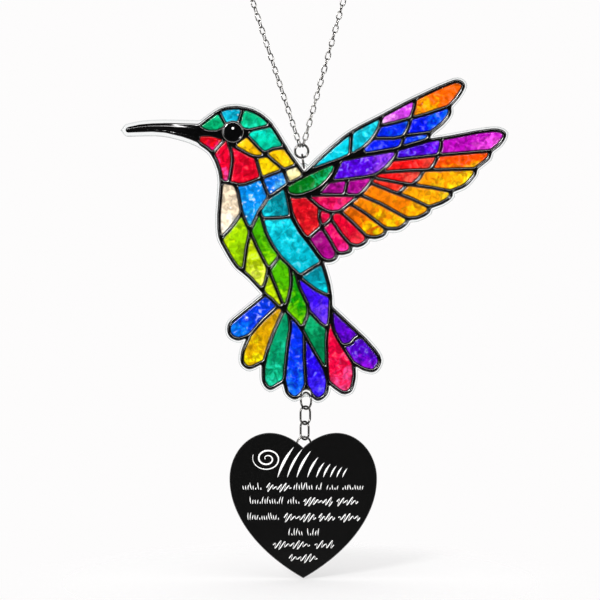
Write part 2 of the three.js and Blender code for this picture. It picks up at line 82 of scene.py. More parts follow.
# Points inside the lines and panes: how far the lines' rows of points lie from the outline, from where on a
# row is thinned out, the spacings, and the eye's rings of points as shares of its radius
LINE_OFFSETS = (0.04, 0.15, 0.34, 0.62, 1.1, 1.7)
THINNED_FROM = 0.5
POINT_SPACING = 0.3
PANE_POINT_SPACING = 0.7
EYE_RINGS = (0.15, 0.35, 0.55, 0.75, 0.88, 0.96, 1.0, 1.025)
EYE_SIDES = 72

# Wire pieces, in millimetres, as in the solids
TOP_RING = {"length": 6.2, "width": 6.2, "wire": 0.9}
HANGING_RING = {"length": 6.1, "width": 6.1, "wire": 0.8}
TAIL_RING = {"length": 7.4, "width": 7.4, "wire": 0.8}
UPPER_LINK = {"length": 8.0, "width": 5.8, "wire": 0.8}
LOWER_LINK = {"length": 8.0, "width": 5.4, "wire": 0.8}
HEART_BAIL = {"length": 6.3, "width": 6.3, "wire": 0.8}
CHAIN_LINK = {"length": 3.6, "width": 2.36, "wire": 0.5}
HANGING_LEAN = -8.0
TAIL_RING_TURN = -52.0
UPPER_LINK_TURN = 40.0
LOWER_LINK_TURN = -46.0

# Chain: its number of links, and how far each strand leans out from the top ring, in degrees
CHAIN_LINKS = 73
LEFT_LEAN = 18.1
RIGHT_LEAN = 15.5
FIRST_LINK_FROM_RING = 3.25
CHAIN_PITCH = 2.7889
TWISTED_LINKS = (0, 30, 42, 72)
LINK_TWISTS = (27, 23, -14, -18)

# Heart: its width, its bevelled edge, and its curves as shares of half the width, from the notch to the point
HEART_WIDTH = 58.8
HEART_BEVEL = 0.22
HEART_STEPS = 40
HEART_CURVES = (
    ((0, 0.418), (0.12, 0.53), (0.28, 0.62), (0.455, 0.62)),
    ((0.455, 0.62), (0.755, 0.62), (1, 0.34), (1, 0)),
    ((1, 0), (1, -0.5), (0.62, -1), (0, -1.35)),
)

# Strokes on the heart, in millimetres from the top of its lobes and in degrees: their height, the snail curl,
# and the blades, each with its place, length and thickness
STROKE_HEIGHT = 0.03
CURL_CENTRE = (-14.4, -10.2)
CURL_START = 200
CURL_TURN = 760
CURL_RADIUS = 0.7
CURL_GROWTH = 4.9
CURL_STRETCH = (1.05, 0.86)
BLADE_FOOT = -17.6
BLADE_HALF_RISE = 0.44
BLADE_BOW = 0.05
BLADE_LEAN = 62
BLADES = (
    (-7.0, 13.6, 1.1),
    (-3.4, 12.6, 0.9),
    (0.2, 11.8, 1.0),
    (3.8, 9.0, 0.85),
    (6.8, 6.6, 0.7),
    (9.4, 6.0, 0.7),
    (12.0, 5.2, 0.6),
    (14.4, 4.6, 0.6),
    (16.6, 4.0, 0.5),
)

# Rows of strokes: the height of each row's middle, and its runs of ticks or ripples from x to x
TICK_PITCH = 0.95
TICK_FOOT = -0.9
TICK_LINE = 0.34
TICK_SIZES = (0.9, 1.7, 2.0, 2.9)
TICK_SWAY = 16
RIPPLE_PITCH = 1.75
RIPPLE_HEIGHT = 1.15
RIPPLE_SWELL = 0.75
RIPPLE_SLANT = 0.5
RIPPLE_LINE = (0.14, 0.26)
ROWS = (
    (-21.7, (("ticks", -24.4, -16.4), ("ripple", -14.6, -4.8), ("ticks", -4.0, 4.0),
             ("ticks", 5.0, 7.6), ("ticks", 9.2, 14.2), ("ticks", 15.4, 24.2))),
    (-27.3, (("ticks", -21.5, -7.8), ("ticks", -6.4, -1.2), ("ripple", 0.2, 11.6),
             ("ripple", 13.4, 21.8))),
    (-33.7, (("ticks", -22.4, -9.4), ("ripple", -7.6, 5.0), ("ripple", 6.2, 12.6),
             ("ripple", 14.0, 22.6))),
    (-39.9, (("ticks", -6.0, 0.0), ("ticks", 1.4, 6.6))),
    (-44.6, (("ripple", -12.0, 2.6), ("ripple", 4.6, 12.2))),
    (-49.9, (("ripple", -5.6, 5.6),)),
)

# The mirrored room's walls and arc lamp: grey levels along the way from straight behind the piece to straight
# before it
WALL_LEVELS = (
    (0.0, 0.02), (0.28, 0.02), (0.45, 0.25), (0.62, 0.04), (0.8, 0.05), (0.92, 0.05), (0.985, 0.01))
ARC_LEVELS = (
    (0.0, 0.0), (0.885, 0.0), (0.892, 22.0), (0.908, 22.0), (0.915, 0.0), (1.0, 0.0))
ARC_MIDDLE = (-0.25, 0.0, 0.97)

# Studio: the photograph's middle lies 1.6 mm left of the neck hole and 52.8 mm below it. Distances in metres
VIEW_FROM_NECK = (-1.6, -52.8)
FLOOR_GAP = 0.0004
FLOOR_HALF = 0.13
KEY_FROM = (-0.45, -1.0, 0.5)
FILL_FROM = (0.5, -1.0, -0.3)
CAMERA_DISTANCE = 0.7333
LENS = 110.0
SENSOR_WIDTH = 36.0

# Settings that several nodes share
MULTIPLY = {"operation": "MULTIPLY"}
SMOOTH = {"interpolation_type": "SMOOTHSTEP"}
COLOURS = {"data_type": "RGBA"}

# Panes: place inside the pane in millimetres from the neck hole, deep tone, bright tone, the direction in
# which it turns bright in degrees anticlockwise from the right, and how many pale flecks, painted glints,
# it has from 0 to 1
HEAD_PANES = {
    "brow_front": (-36, 18, "#00b070", "#18e0a4", 60, 0.0),
    "crown": (-29, 21, "#00aed0", "#20f0ff", -120, 0.1),
    "brow_rear": (-21, 19, "#00b880", "#18f0c0", -90, 0.0),
    "nape": (-15, 12, "#00c49c", "#00ecd4", 110, 0.0),
    "chin": (-36, 12, "#de0416", "#f0107c", -80, 0.0),
    "throat": (-33, 3, "#e4002c", "#ff50b4", -90, 0.0),
    "cheek": (-25, -1, "#dc0024", "#ff1040", 150, 0.05),
    "ear": (-23, 9, "#f2b800", "#ffd81c", 150, 0.0),
    "neck_upper": (-10, 4, "#f2be00", "#fff020", -60, 0.0),
    "neck_lower": (-15, 1, "#f4cc00", "#fff03c", -120, 0.0),
    "shoulder_cream": (-3, -2, "#f2e4a4", "#fff8d8", 120, 0.1),
}
BODY_PANES = {
    "shoulder_blue": (-10, -6, "#0078ee", "#60c8ff", 0, 1.0),
    "breast_blue": (-20, -12, "#0090f2", "#30d8ff", -90, 0.75),
    "breast_cream": (-31, -16, "#f2dec0", "#fffaf0", -50, 0.15),
    "breast_lime": (-27, -30, "#94cc00", "#e0fc00", 160, 0.0),
    "flank_green": (-16, -30, "#44b000", "#98e400", -90, 0.0),
    "belly_lime": (-19, -39, "#c0dc00", "#f8ff60", -80, 0.1),
    "belly_green": (-8, -43, "#4cb400", "#a4e400", -90, 0.0),
    "vent_lime": (-13, -50, "#c0e000", "#f4f828", -60, 0.0),
    "loin_green": (-2, -53, "#0c9c04", "#7cd800", -100, 0.0),
    "shoulder_teal": (-10, -14, "#008c9c", "#10e8fc", -130, 0.05),
    "wing_root": (-4, -30, "#00bcd0", "#20f0ff", 130, 0.1),
    "rump_teal": (6, -44, "#0096a8", "#08ecfc", -70, 0.0),
    "rump_violet": (5, -54, "#3808e4", "#7c44ff", -60, 0.0),
    "rump_green": (5, -68, "#008650", "#0cae70", 90, 0.0),
}
TAIL_PANES = {
    "tail_1": (-24, -62, "#0038e4", "#0088ff", -145, 0.45),
    "tail_2": (-19, -72, "#d09c00", "#fff400", -120, 0.0),
    "tail_3": (-12, -76, "#009664", "#20dcb0", -100, 0.0),
    "tail_4": (-3, -78, "#0030f2", "#1080ff", -110, 0.15),
    "tail_5": (5, -85, "#2400e8", "#5030ff", -90, 0.15),
    "tail_6": (13, -75, "#ee0040", "#ff4c94", -80, 0.1),
    "tail_7_root": (16, -66, "#4c00b8", "#7c08ec", -60, 0.0),
    "tail_7_end": (24, -75, "#4c00c0", "#a410f4", -110, 0.15),
}
UPPER_WING_PANES = {
    "cover_cyan_root": (12, 6, "#00d0e4", "#0ce8ff", -45, 0.1),
    "cover_cyan": (24, 12, "#00cce6", "#2cf2ff", 60, 0.1),
    "cover_pink": (38, 22, "#d840ee", "#ffa0ff", -120, 0.5),
    "wing_tip_orange": (57, 29, "#fa6400", "#ffc000", -100, 0.05),
    "cover_blue_root": (34, 15, "#0028f4", "#007cff", 20, 0.15),
    "cover_blue_end": (50, 18, "#0014f0", "#0074ff", -20, 0.15),
    "cover_blue_low": (30, 9, "#0018f0", "#1050ff", -100, 0.1),
    "cover_blue_small": (44, 12, "#0034f4", "#3c8cff", -60, 0.1),
}
LOWER_WING_PANES = {
    "violet_root": (24, 1, "#5400de", "#b050ff", -40, 0.2),
    "violet_end": (50, 7, "#4400d8", "#8414ff", 0, 0.15),
    "long_magenta": (70, 11, "#bc04be", "#ff50ee", -50, 0.05),
    "flame": (64, 3, "#fc4c00", "#ffb800", -80, 0.05),
    "red_upper": (40, 1, "#f00c10", "#ff5c4c", 0, 0.05),
    "red_middle": (35, -3, "#ee1014", "#ff6450", -20, 0.05),
    "red_lower": (33, -6, "#f02c1c", "#ff6444", 0, 0.0),
    "gold_1": (59, -5, "#ff9c00", "#ffea14", -60, 0.0),
    "gold_2": (48, -10, "#ffa400", "#ffe420", -40, 0.0),
    "gold_3": (38, -13, "#ee7c00", "#ffc800", -30, 0.0),
    "gold_4": (32, -19, "#ee8400", "#ffe600", -40, 0.0),
    "gold_5": (24, -22, "#e86c00", "#ffe000", -50, 0.0),
    "feather_red": (18, -26, "#e80030", "#ff3c48", -45, 0.05),
    "feather_pink": (14, -29, "#e00060", "#ff30a4", -60, 0.05),
    "feather_purple": (8, -33, "#a0047c", "#d400b4", -70, 0.05),
    "leaf": (2, -5, "#007418", "#0ce090", -20, 0.05),
    "purple_root": (11, -8, "#8e0478", "#cc18b0", 0, 0.0),
    "purple_end": (22, -7, "#a00088", "#ff28cc", -20, 0.05),
    "crimson": (11, -14, "#d80450", "#ff3494", -60, 0.05),
    "crimson_small": (9, -19, "#d40840", "#fa2c64", 0, 0.0),
    "red_root": (0, -18, "#da0c1e", "#ff2c2c", -60, 0.15),
}
PANE_GROUPS = {
    "head_panes": HEAD_PANES,
    "body_panes": BODY_PANES,
    "tail_panes": TAIL_PANES,
    "upper_wing_panes": UPPER_WING_PANES,
    "lower_wing_panes": LOWER_WING_PANES,
}


def linear(code):
    """The linear colour of an sRGB hex value."""
    parts = [int(code[i:i + 2], 16) / 255 for i in (1, 3, 5)]
    return [p / 12.92 if p <= 0.04045 else ((p + 0.055) / 1.055) ** 2.4 for p in parts] + [1.0]


def box_of(node):
    """Lowest and highest corner of a solid's box, in millimetres."""
    return [np.array(corner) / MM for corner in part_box(node)]


def centre_of(node):
    """Middle of a solid's box, in millimetres."""
    low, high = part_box(node)
    return np.array((low + high) / 2) / MM


def sides_of(line):
    """The closed line's sides, each from a point to the next."""
    return np.roll(line, -1, axis=0) - line


def signed_area(line):
    """Area in a closed line, positive where it runs anticlockwise."""
    x, z = line[:, 0], line[:, 1]
    return 0.5 * (x * np.roll(z, -1) - np.roll(x, -1) * z).sum()


def open_edges(triangles):
    """Edges that only one of the triangles has, each with that triangle on its left."""
    edges = {(a, b) for tri in triangles.tolist() for a, b in zip(tri, tri[1:] + tri[:1]) if a != b}
    return [(a, b) for a, b in edges if (b, a) not in edges]


def front_outlines(node):
    """Lines round the front face of a flat solid, the largest first, each as (x, z) points in millimetres.

    A triangle is in front where all its corners have the lowest y.
    """
    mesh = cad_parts[node].data
    mesh.calc_loop_triangles()
    points = np.empty(len(mesh.vertices) * 3)
    mesh.vertices.foreach_get("co", points)
    points = points.reshape(-1, 3) / MM
    corners = np.empty(len(mesh.loop_triangles) * 3, np.int32)
    mesh.loop_triangles.foreach_get("vertices", corners)
    corners = corners.reshape(-1, 3)
    level = points[:, 1].min() + 0.01
    corners = corners[(points[corners][:, :, 1] < level).all(axis=1)]
    places, merged = np.unique(np.round(points[:, [0, 2]], 3), axis=0, return_inverse=True)
    following = dict(open_edges(merged.reshape(-1)[corners]))
    outlines = []
    while following:
        at = min(following)
        line = []
        while at in following:
            line.append(at)
            at = following.pop(at)
        outlines.append(places[line])
    return sorted(outlines, key=lambda line: -abs(signed_area(line)))


def softened(line, sharpest=35.0):
    """The closed line, each corner that turns less than the angle cut off a quarter along its sides."""
    before = line - np.roll(line, 1, axis=0)
    after = sides_of(line)
    cross = before[:, 0] * after[:, 1] - before[:, 1] * after[:, 0]
    turn = np.degrees(np.abs(np.arctan2(cross, (before * after).sum(axis=1))))
    points = []
    for point, back, ahead, angle in zip(line, before, after, turn):
        points += [point] if angle > sharpest else [point - back / 4, point + ahead / 4]
    return np.array(points)


def resampled(line, step):
    """The closed line with its sides cut into equal pieces no longer than the step."""
    sides = sides_of(line)
    counts = np.maximum(1, np.ceil(np.linalg.norm(sides, axis=1) / step)).astype(int)
    return np.concatenate([a + s * (np.arange(n) / n)[:, None] for a, s, n in zip(line, sides, counts)])


def eased(line, step=0.3, rounds=5):
    """The closed line with its corners rounded, as poured resin leaves them.

    Points are spaced evenly along it, each is moved some times to the weighted mean of itself and its two
    neighbours, and every other one is kept.
    """
    run = np.concatenate([[0], np.cumsum(np.linalg.norm(sides_of(line), axis=1))])
    at = np.linspace(0, run[-1], 2 * max(6, round(run[-1] / step / 2)), endpoint=False)
    closed = np.concatenate([line, line[:1]])
    points = np.stack([np.interp(at, run, closed[:, axis]) for axis in (0, 1)], axis=1)
    for _ in range(rounds):
        points = 0.5 * points + 0.25 * (np.roll(points, 1, axis=0) + np.roll(points, -1, axis=0))
    return points[::2]


def inward(line):
    """Way to the left at each point of a closed line, so long that a corner keeps clear of both its sides."""
    tiny, least = 1e-9, 0.5
    after = sides_of(line)
    after /= np.maximum(np.linalg.norm(after, axis=1, keepdims=True), tiny)
    left = np.stack([-after[:, 1], after[:, 0]], axis=1)
    both = left + np.roll(left, 1, axis=0)
    both /= np.maximum(np.linalg.norm(both, axis=1, keepdims=True), tiny)
    return both / np.maximum((both * left).sum(axis=1, keepdims=True), least)


def distance_to(lines, points):
    """Least distance of each point from any side of the closed lines."""
    x, z = np.concatenate(lines).astype(np.float32).T
    along_x, along_z = np.concatenate([sides_of(line) for line in lines]).astype(np.float32).T
    squares = np.maximum(along_x ** 2 + along_z ** 2, np.float32(1e-12))
    result = np.empty(len(points))
    block = 100
    for first in range(0, len(points), block):
        at_x, at_z = points[first:first + block].astype(np.float32).T[:, :, None]
        away_x, away_z = at_x - x, at_z - z
        share = np.clip((away_x * along_x + away_z * along_z) / squares, 0, 1)
        gap = (away_x - share * along_x) ** 2 + (away_z - share * along_z) ** 2
        result[first:first + block] = np.sqrt(gap.min(axis=1))
    return result


def within(line, points):
    """Whether each point lies inside the closed line: an odd number of its sides lie above it."""
    x, z = points[:, 0][:, None], points[:, 1][:, None]
    a, b = line, np.roll(line, -1, axis=0)
    spans = (a[:, 0] > x) != (b[:, 0] > x)
    run = np.where(a[:, 0] == b[:, 0], 1e-12, b[:, 0] - a[:, 0])
    height = a[:, 1] + (x - a[:, 0]) * (b[:, 1] - a[:, 1]) / run
    return (spans & (height > z)).sum(axis=1) % 2 == 1


def scattered(line, step):
    """Points of a staggered grid over the box round a line."""
    row_share = 0.87
    low, high = line.min(axis=0), line.max(axis=0)
    x, z = np.meshgrid(np.arange(low[0], high[0], step), np.arange(low[1], high[1], step * row_share))
    x = x + (np.arange(len(x)) % 2)[:, None] * step / 2
    return np.stack([x.ravel(), z.ravel()], axis=1)


def filled(lines, inner=np.empty((0, 2))):
    """Points and triangles over the region inside the first closed line and outside the others."""
    every = np.concatenate([*lines, inner])
    starts = np.cumsum([0] + [len(line) for line in lines]).tolist()
    rings = [list(range(a, b)) for a, b in zip(starts[:-1], starts[1:])]
    edges = [(a, b) for ring in rings for a, b in zip(ring, ring[1:] + ring[:1])]
    turned = [ring if signed_area(line) > 0 else ring[::-1] for ring, line in zip(rings, lines)]
    cut = delaunay_2d_cdt([Vector(p) for p in every.tolist()], edges, turned, 0, 1e-5)
    places, triangles, owners = cut[0], cut[2], cut[5]
    kept = [tri for tri, owner in zip(triangles, owners) if list(owner) == [0]]
    return np.array([tuple(p) for p in places]), np.array(kept)


def shell(places, triangles, front, back):
    """Closed surface over a flat triangulation: its front at one height, its back at another, walls between.

    The heights are y values at each place. Where the two are the same they share their point.
    """
    count = len(places)
    apart = np.abs(front - back) > 1e-6
    behind = np.where(apart, count + np.cumsum(apart) - 1, np.arange(count))
    front_points = np.stack([places[:, 0], front, places[:, 1]], axis=1)
    back_points = np.stack([places[:, 0], back, places[:, 1]], axis=1)[apart]
    rim = [(a, b) for a, b in open_edges(triangles) if apart[a] and apart[b]]
    faces = [triangles, behind[triangles][:, ::-1]]
    if rim:
        a, b = np.array(sorted(rim)).T
        faces += [np.stack([b, a, behind[a]], axis=1), np.stack([b, behind[a], behind[b]], axis=1)]
    return np.concatenate([front_points, back_points]), np.concatenate(faces)


def bevelled(lines, front, back, bevel):
    """A flat plate with bevelled edges: nearer than the bevel to an edge, both faces fall towards it.

    A point set in from its own side is kept unless another side is clearly nearer.
    """
    own_side = 0.97
    inset = np.concatenate([line + bevel * inward(line) for line in lines])
    inset = inset[distance_to(lines, inset) > own_side * bevel]
    places, triangles = filled(lines, inset)
    fall = np.clip(bevel - distance_to(lines, places), 0, bevel)
    return shell(places, triangles, front + fall, back - fall)


def tube_quads(rows, sides, closed):
    """Quads between the rings of a tube's points, the last ring joined to the first if it is closed."""
    i, j = np.meshgrid(np.arange(rows if closed else rows - 1), np.arange(sides), indexing="ij")
    ahead, aside = (i + 1) % rows, (j + 1) % sides
    corners = [i * sides + j, ahead * sides + j, ahead * sides + aside, i * sides + aside]
    return np.stack([c.ravel() for c in corners], axis=1)


def waves(points, size, count=6):
    """Gentle unevenness from -1 to 1: a sum of sine waves of about one size in random directions."""
    total = np.zeros(len(points))
    for _ in range(count):
        angle, phase = rng.uniform(0, 2 * math.pi, 2)
        length = size * rng.uniform(0.7, 1.5)
        along = points[:, 0] * math.cos(angle) + points[:, 1] * math.sin(angle)
        total += np.sin(2 * math.pi * along / length + phase)
    return total / count


def smoothstep(value):
    """0 below 0, 1 above 1 and a smooth rise between."""
    held = np.clip(value, 0, 1)
    return held * held * (3 - 2 * held)


def facing_out(points, faces):
    """The faces of a closed surface, all turned round if they enclose a negative volume."""
    a, b, c = (points[faces[:, k]] for k in (0, 1, 2))
    volume = (a * np.cross(b, c)).sum()
    if faces.shape[1] == 4:
        volume += (a * np.cross(c, points[faces[:, 3]])).sum()
    return faces if volume > 0 else faces[:, ::-1]


def add_object(name, data, place=(0, 0, 0), turn=(0, 0, 0)):
    """An object in the scene, at a place in metres, turned by angles about x, y and z."""
    thing = bpy.data.objects.new(name, data)
    thing.location = place
    thing.rotation_euler = turn
    bpy.context.scene.collection.objects.link(thing)
    return thing


def add_piece(name, points, faces, material, replaces=(), smooth=True):
    """A mesh piece from points in millimetres, riding on the one body."""
    mesh = bpy.data.meshes.new(name)
    mesh.from_pydata((np.asarray(points) * MM).tolist(), [], facing_out(points, faces).tolist())
    mesh.materials.append(material)
    mesh.polygons.foreach_set("use_smooth", [smooth] * len(mesh.polygons))
    mesh.update()
    piece = add_object(name, mesh)
    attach(piece, "root")
    if replaces:
        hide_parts(*replaces)
    return piece


def joined(parts):
    """Points and faces of several surfaces as one."""
    points, faces, offset = [], [], 0
    for part_points, part_faces in parts:
        points.append(part_points)
        faces.append(facing_out(part_points, part_faces) + offset)
        offset += len(part_points)
    return np.concatenate(points), np.concatenate(faces)


def add_node(material, kind, inputs=None, settings=None):
    """A node of a material or world, with its settings set and its inputs filled or linked."""
    node = material.node_tree.nodes.new(kind)
    for key, value in (settings or {}).items():
        setattr(node, key, value)
    for key, value in (inputs or {}).items():
        if isinstance(value, bpy.types.NodeSocket):
            material.node_tree.links.new(value, node.inputs[key])
        else:
            node.inputs[key].default_value = value
    return node


def new_material(name, **plain):
    """A node material with its output, and its principled shader with plain values on its sockets."""
    material = bpy.data.materials.new(name)
    material.use_nodes = True
    material.node_tree.nodes.clear()
    sockets = {key.replace("_", " "): value for key, value in plain.items()}
    shader = add_node(material, "ShaderNodeBsdfPrincipled", sockets)
    add_node(material, "ShaderNodeOutputMaterial", {"Surface": shader.outputs["BSDF"]})
    return material, shader


def add_bump(material, shader, scale, detail, strength, depth):
    """Fine relief from noise on object coordinates, its scale in features a metre and its depth in metres."""
    place = add_node(material, "ShaderNodeTexCoord").outputs["Object"]
    grain = add_node(material, "ShaderNodeTexNoise", {"Vector": place, "Scale": scale, "Detail": detail})
    relief = {"Height": grain.outputs["Fac"], "Strength": strength, "Distance": depth}
    bump = add_node(material, "ShaderNodeBump", relief)
    material.node_tree.links.new(bump.outputs["Normal"], shader.inputs["Normal"])
    return grain


def two_tone(material, shader, grain, dark, light):
    """The base colour between two near tones, as far as the grain says at each place."""
    colours = {0: grain.outputs["Fac"], 6: linear(dark), 7: linear(light)}
    mixed = add_node(material, "ShaderNodeMix", colours, COLOURS)
    material.node_tree.links.new(mixed.outputs[2], shader.inputs["Base Color"])
    return material


def black_resin():
    """Black epoxy resin, laid on as raised lines that round off by themselves: deep black, glossy, uneven."""
    material, shader = new_material("black_epoxy_resin", Roughness=0.08, IOR=1.7)
    grain = add_bump(material, shader, 500.0, 1.0, 0.12, 0.0002)
    return two_tone(material, shader, grain, "#010101", "#080809")


def stained_acrylic():
    """Transparent dye on hammered acrylic: two mottled tones a pane, a wet gloss, and painted light. Painted
    shade darkens each pane towards its edge, and pale flecks and sparkling points are painted glints.

    The piece's attributes give the two tones, and in "traits" how far the bright one has come (red), the
    share of pale flecks, the painted glints (green) and the way in from the pane's edge, which also sets the
    painted edge shade (blue).
    """
    material, shader = new_material(
        "dyed_hammered_acrylic", Roughness=0.1, IOR=1.49, Specular_IOR_Level=0.35, Transmission_Weight=0.25)
    place = add_node(material, "ShaderNodeTexCoord").outputs["Object"]
    deep, bright, traits = (
        add_node(material, "ShaderNodeAttribute", settings={"attribute_name": name})
        for name in ("deep", "bright", "traits"))
    trait = add_node(material, "ShaderNodeSeparateColor", {"Color": traits.outputs["Color"]}).outputs

    # Clouds of 4 mm decide where the deep tone gives way to the bright one
    clouds = add_node(material, "ShaderNodeTexNoise", {
        "Vector": place, "Scale": 250.0, "Detail": 3.0, "Roughness": 0.6, "Distortion": 1.0})
    drift = add_node(material, "ShaderNodeMath", {0: clouds.outputs["Fac"], 1: 2.4, 2: -1.2},
                     {"operation": "MULTIPLY_ADD"})
    reach = add_node(material, "ShaderNodeMath", {0: trait["Red"], 1: drift.outputs[0]})
    share = add_node(material, "ShaderNodeMapRange", {0: reach.outputs[0], 1: 0.45, 2: 1.3}, SMOOTH)
    tone = add_node(material, "ShaderNodeMix", {
        0: share.outputs[0], 6: deep.outputs["Color"], 7: bright.outputs["Color"]}, COLOURS)

    # Streaks of 2 mm mottle the dye, and painted shade darkens it towards the pane's edge, beside the lines
    streaks = add_node(material, "ShaderNodeTexNoise", {
        "Vector": place, "Scale": 430.0, "Detail": 1.5, "Distortion": 0.8})
    shade = add_node(material, "ShaderNodeMapRange", {
        0: streaks.outputs["Fac"], 1: 0.34, 2: 0.6, 3: 0.53, 4: 1.12})
    # Painted shade: towards the pane's edge the colour darkens, down to a quarter of it at the edge
    rim = add_node(material, "ShaderNodeMapRange", {0: trait["Blue"], 1: 0.0, 2: 0.9, 3: 0.25, 4: 1.0})
    value = add_node(material, "ShaderNodeMath", {0: shade.outputs[0], 1: rim.outputs[0]}, MULTIPLY)
    dye_with_painted_edge_shade = add_node(material, "ShaderNodeVectorMath", {0: tone.outputs[2], "Scale": value.outputs[0]},
                    {"operation": "SCALE"})

    # Painted glints: pale flecks of 2 mm and small sparkling points, where the pane has them, whiten the
    # colour
    flecks = add_node(material, "ShaderNodeTexNoise", {
        "Vector": place, "Scale": 430.0, "Detail": 3.0, "Distortion": 0.5})
    fleck = add_node(material, "ShaderNodeMapRange", {0: flecks.outputs["Fac"], 1: 0.56, 2: 0.74}, SMOOTH)
    painted_glint_share = add_node(material, "ShaderNodeMath", {0: fleck.outputs[0], 1: trait["Green"]}, MULTIPLY)
    cells = add_node(material, "ShaderNodeTexVoronoi", {"Vector": place, "Scale": 300.0})
    point = add_node(material, "ShaderNodeMapRange", {0: cells.outputs["Distance"], 1: 0.15, 2: 0.05})
    chance = add_node(material, "ShaderNodeSeparateColor", {"Color": cells.outputs["Color"]})
    chosen = add_node(material, "ShaderNodeMath", {0: chance.outputs["Red"], 1: 0.78},
                      {"operation": "GREATER_THAN"})
    lively = add_node(material, "ShaderNodeMath", {0: trait["Green"], 1: 6.0},
                      {"operation": "MULTIPLY", "use_clamp": True})
    spark = add_node(material, "ShaderNodeMath", {0: point.outputs[0], 1: chosen.outputs[0]}, MULTIPLY)
    painted_sparkle = add_node(material, "ShaderNodeMath", {0: spark.outputs[0], 1: lively.outputs[0]}, MULTIPLY)
    pale = add_node(material, "ShaderNodeMath", {0: painted_glint_share.outputs[0], 1: painted_sparkle.outputs[0]},
                    {"operation": "MAXIMUM", "use_clamp": True})
    with_painted_glints = add_node(material, "ShaderNodeMix", {
        0: pale.outputs[0], 6: dye_with_painted_edge_shade.outputs[0], 7: linear("#f4fbff")}, COLOURS)
    material.node_tree.links.new(with_painted_glints.outputs[2], shader.inputs["Base Color"])
    add_bump(material, shader, 330.0, 2.0, 0.4, 0.0008)
    return material


def clear_acrylic(name, tone):
    """Clear cast acrylic, laser cut: see-through, polished faces, rippled cut; a grey tone is painted shade.
    """
    material, shader = new_material(
        name, Base_Color=linear(tone), Roughness=0.03, IOR=1.49, Transmission_Weight=1.0)
    add_bump(material, shader, 900.0, 1.0, 0.05, 0.0001)
    return material


def polished_steel(name, dark, light):
    """Stainless wire, drawn and tumbled bright: clean reflections, softened by fine drawing marks."""
    material, shader = new_material(name, Metallic=1.0, Roughness=0.16)
    grain = add_bump(material, shader, 1500.0, 3.0, 0.1, 0.0001)
    return two_tone(material, shader, grain, dark, light)


def coated_steel():
    """Steel with a satin black sprayed coat: near black, with a fine pebbled skin that softens light."""
    material, shader = new_material("satin_black_coat", Roughness=0.32, IOR=1.4, Specular_IOR_Level=0.15)
    grain = add_bump(material, shader, 2200.0, 3.0, 0.15, 0.00008)
    return two_tone(material, shader, grain, "#040404", "#0a0a0a")


def engraved_steel():
    """Steel laid bare by a laser through the black coat: a pale, frosted matt line."""
    material, shader = new_material("laser_engraved_steel", Metallic=0.1, Roughness=0.6)
    grain = add_bump(material, shader, 4000.0, 2.0, 0.3, 0.00005)
    return two_tone(material, shader, grain, "#dededc", "#ffffff")


def grey_rim_highlight():
    """A grey line with a soft sheen: a painted highlight, for the light caught round the rim of the eye's
    dome.
    """
    material, shader = new_material("painted_eye_rim_highlight", Metallic=0.2, Roughness=0.4)
    grain = add_bump(material, shader, 1800.0, 2.0, 0.3, 0.0001)
    return two_tone(material, shader, grain, "#484644", "#7c7874")


def white_enamel():
    """White enamel paint in a small domed drop: bright and glossy."""
    material, shader = new_material("white_enamel_drop", Roughness=0.2)
    grain = add_bump(material, shader, 1500.0, 1.0, 0.05, 0.0001)
    return two_tone(material, shader, grain, "#f2f2f0", "#ffffff")


def beak_ridges(outline, places, root):
    """How high the beak stands at each point, up to 1: a ridge along each of its two halves.

    A point's share of the way up from the beak's lower line to its upper one decides. Each ridge is a bell
    curve over that share. Towards the root of the beak they fade into a level top.
    """
    spacing = 0.4
    columns = np.arange(outline[:, 0].min() + spacing / 2, root, spacing)
    holding = [outline[np.abs(outline[:, 0] - x) < spacing][:, 1] for x in columns]
    lower = np.interp(places[:, 0], columns, [z.min() for z in holding])
    upper = np.interp(places[:, 0], columns, [z.max() for z in holding])
    share = (places[:, 1] - lower) / np.maximum(upper - lower, 0.1)
    bells = sum(size * np.exp(-((share - at) / wide) ** 2) for at, wide, size in BEAK_RIDGES)
    fade = smoothstep((root - places[:, 0]) / BEAK_ROOT_FADE)
    return 1 - fade * BEAK_RIDGE_SHARE * (1 - bells)


